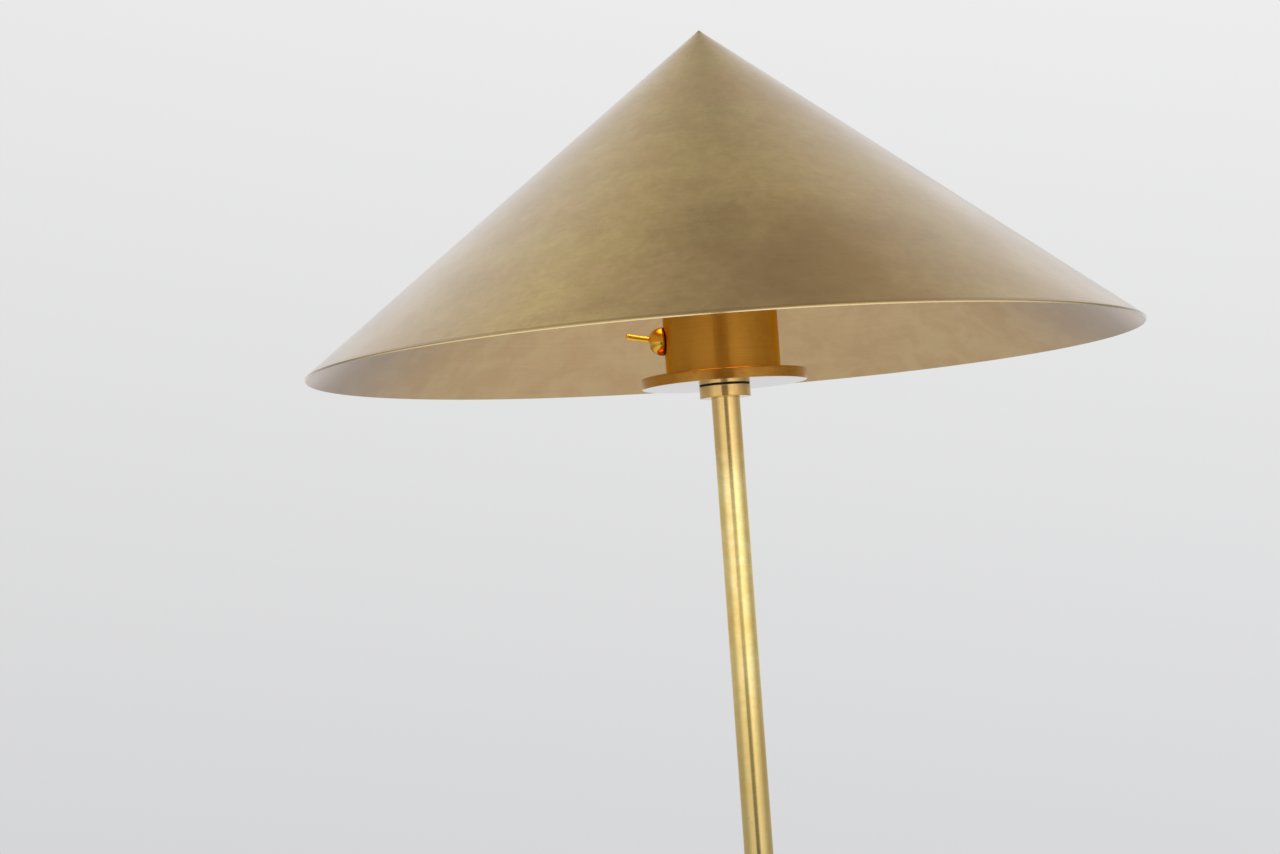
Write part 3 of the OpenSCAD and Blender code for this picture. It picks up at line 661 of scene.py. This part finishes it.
LEVER_TILT = math.radians(12)
BALL_R = 2.5
NECK_R = 1.2
pivot = next(Vector(joint["pos_m"]) for joint in frame["joints"] if joint["name"] == "switch_toggle")
lever_axis = axis_from(pivot / MM, (-math.cos(LEVER_TILT), 0, math.sin(LEVER_TILT)))
lever_in, lever_out = axis_box("toggle_lever", lever_axis)
ROD_R = 1.5
TIP_R = 1.8
turned("lever_rod", [(0, lever_in), (NECK_R, lever_in, 0.2), (NECK_R, -2.19)]
       + arc((0, 0), BALL_R, -61, 46, 8.0)
       + [(ROD_R, 2.0), (TIP_R - 0.05, lever_out - 2.6), (TIP_R, lever_out - 1.8, 0.5),
          (TIP_R - 0.2, lever_out, 0.7), (0, lever_out)],
       "switch_brass", "lever", ["toggle_lever"], axis=lever_axis, segments=96)


# ---- Studio ----

FLOOR_R = 3.4
FLOOR_FADE = (1.1, 3.2)
FLOOR_TONE = (0.80, 0.80, 0.815)


def add_floor():
    """A pale floor that fades into the backdrop with distance."""
    verts, faces = [(0, 0, 0)], []
    rings = [0.3, 0.7, 1.3, 2.2, FLOOR_R]
    spokes = 96
    for r in rings:
        verts.extend((r * math.cos(TAU * j / spokes), r * math.sin(TAU * j / spokes), 0)
                     for j in range(spokes))
    for j in range(spokes):
        k = (j + 1) % spokes
        faces.append((0, 1 + j, 1 + k))
        for i in range(len(rings) - 1):
            low, high = 1 + i * spokes, 1 + (i + 1) * spokes
            faces.append((low + j, high + j, high + k, low + k))
    mesh = bpy.data.meshes.new("studio_floor")
    mesh.from_pydata(verts, [], faces)
    g = new_material("studio_floor")
    place = g.place()
    tone = g.noise(place, 3.0, 3.0)
    cloth = g.node("BsdfPrincipled", None, Roughness=0.85, Specular_IOR_Level=0.2,
                   Base_Color=g.mix(tone, FLOOR_TONE, tuple(c * 0.97 for c in FLOOR_TONE)))
    away = g.node("VectorMath", {"operation": "LENGTH"}, Vector=place).outputs["Value"]
    fade = g.fit(away, FLOOR_FADE[0], FLOOR_FADE[1])
    backface = g.node("NewGeometry").outputs["Backfacing"]
    clear = g.math("MAXIMUM", fade, backface)
    blend = g.node("MixShader", None, Fac=clear)
    g.feed(blend.inputs[1], cloth.outputs[0])
    g.feed(blend.inputs[2], g.node("BsdfTransparent").outputs[0])
    finish_material(g, blend.outputs[0])
    mesh.materials.append(MATERIALS["studio_floor"])
    floor = bpy.data.objects.new("studio_floor", mesh)
    bpy.context.scene.collection.objects.link(floor)


SOFT_BOX_AT = (0.1, -1.0, 3.0)
SOFT_BOX_AIM = (0, -0.6, 0)
SOFT_BOX_SIZE = 0.8
SOFT_BOX_WATTS = 40


def add_soft_box():
    """A soft light above and before the lamp; the metal shows the tent and not this light."""
    data = bpy.data.lights.new("soft_box_top", "AREA")
    data.shape = "RECTANGLE"
    data.size = data.size_y = SOFT_BOX_SIZE
    data.energy = SOFT_BOX_WATTS
    lamp = bpy.data.objects.new("soft_box_top", data)
    bpy.context.scene.collection.objects.link(lamp)
    lamp.location = SOFT_BOX_AT
    aim = Vector(SOFT_BOX_AIM) - Vector(SOFT_BOX_AT)
    lamp.rotation_euler = aim.to_track_quat("-Z", "Y").to_euler()
    lamp.visible_glossy = False


# Middle of the dark ceiling, as a direction
OVERHEAD = (0.05, 0.20, 0.978)
# Bright and dim panels round the lamp: azimuth from the camera, inner and outer half width, gain
PANELS = [(-35, 14, 52, 0.34), (38, 14, 56, 0.46), (31, 3, 12, 0.20), (-100, 30, 65, -0.25),
          (100, 30, 62, -0.27), (104, 0.6, 1.6, -0.35)]
# The gap in the tent where the camera stands: inner and outer half width, gain
GAP = (10, 19, -0.88)
# Plain backdrop that the camera sees, at the horizon and above it
BACKDROP_LOW = (0.668, 0.670, 0.682)
BACKDROP_HIGH = (0.825, 0.825, 0.825)
# Half widths and places of the runner's rows, in metres before the lamp
FLAG_ROWS = [(0.03, -0.3), (0.03, -0.7), (0.38, -1.9)]
FLAG_TONES = ((0.14, 0.125, 0.085), (0.18, 0.16, 0.12))


def add_flag():
    """A dark runner on the floor before the lamp, seen only in the metal, as a photographer is."""
    verts = [(side * half, y, 0.004) for half, y in FLAG_ROWS for side in (-1, 1)]
    mesh = bpy.data.meshes.new("studio_flag")
    mesh.from_pydata(verts, [], [(0, 2, 3, 1), (2, 4, 5, 3)])
    g = new_material("studio_flag")
    tone = g.noise(g.place(), 6.0, 2.0)
    cloth = g.node("BsdfPrincipled", None, Base_Color=g.mix(tone, *FLAG_TONES), Roughness=0.9)
    finish_material(g, cloth.outputs[0])
    mesh.materials.append(MATERIALS["studio_flag"])
    flag = bpy.data.objects.new("studio_flag", mesh)
    bpy.context.scene.collection.objects.link(flag)
    for ray in ("camera", "diffuse", "shadow", "transmission", "volume_scatter"):
        setattr(flag, "visible_" + ray, False)


def add_world():
    """A light tent: a bright backdrop all round, darker overhead, with a gap where the camera stands.

    What the camera sees directly is a plain pale gradient; everything else is lit by the tent.
    """
    world = bpy.data.worlds.new("studio")
    world.use_nodes = True
    bpy.context.scene.world = world
    g = Graph(world.node_tree)
    x, y, z = g.split(g.node("TexCoord").outputs["Generated"])
    azimuth = g.math("ARCTAN2", x, g.math("MULTIPLY", y, -1.0))

    def near(centre, inner, outer):
        """1 within inner degrees of an azimuth, 0 beyond outer; azimuth 0 is the camera's side."""
        off = g.math("ABSOLUTE", g.math("SUBTRACT", azimuth, math.radians(centre)))
        return g.fit(off, math.radians(inner), math.radians(outer), 1.0, 0.0)

    overhead = g.node("VectorMath", {"operation": "DOT_PRODUCT"})
    g.feed(overhead.inputs[0], g.node("TexCoord").outputs["Generated"])
    g.feed(overhead.inputs[1], Vector(OVERHEAD).normalized())
    from_ceiling = g.math("ARCCOSINE", g.math("MINIMUM", overhead.outputs["Value"], 1.0))
    tent = g.fit(from_ceiling, 0.05, 0.9, 0.23, 0.80, "LINEAR")
    tent = g.times(tent, g.fit(z, -0.35, 0.0, 0.45, 1.0))
    band = g.fit(g.math("ABSOLUTE", z), 0.55, 0.9, 1.0, 0.0)
    deep = g.fit(g.math("ABSOLUTE", g.math("ADD", z, 0.02)), 0.02, 0.07, 0.45, 1.0)
    low_down = g.fit(z, -0.115, -0.075, 0.68, 1.0)
    gap_inner, gap_outer, gap_gain = GAP
    parts = g.times(near(0, gap_inner, gap_outer), deep, low_down, gap_gain)
    above = g.fit(z, -0.20, -0.03, 0.45, 1.0)
    for centre, inner, outer, gain in PANELS:
        parts = g.plus(parts, g.times(near(centre, inner, outer), gain, above))
    tent = g.math("MAXIMUM", g.plus(tent, g.times(parts, band)), 0.03)
    lit = g.node("Background", None, Color=(1.0, 0.99, 0.985, 1), Strength=tent)
    sweep = g.fit(z, -0.15, 0.27, 0.0, 1.0, "LINEAR")
    side = g.fit(x, -0.35, 0.35, 0.985, 1.055, "LINEAR")
    seen = g.node("Background", None, Color=g.mix(sweep, BACKDROP_LOW, BACKDROP_HIGH), Strength=side)
    blend = g.node("MixShader", None, Fac=g.node("LightPath").outputs["Is Camera Ray"])
    g.feed(blend.inputs[1], lit.outputs[0])
    g.feed(blend.inputs[2], seen.outputs[0])
    g.node("OutputWorld", None, Surface=blend.outputs[0])


add_floor()
add_flag()
add_world()
add_soft_box()
bpy.context.scene.view_settings.view_transform = "Standard"
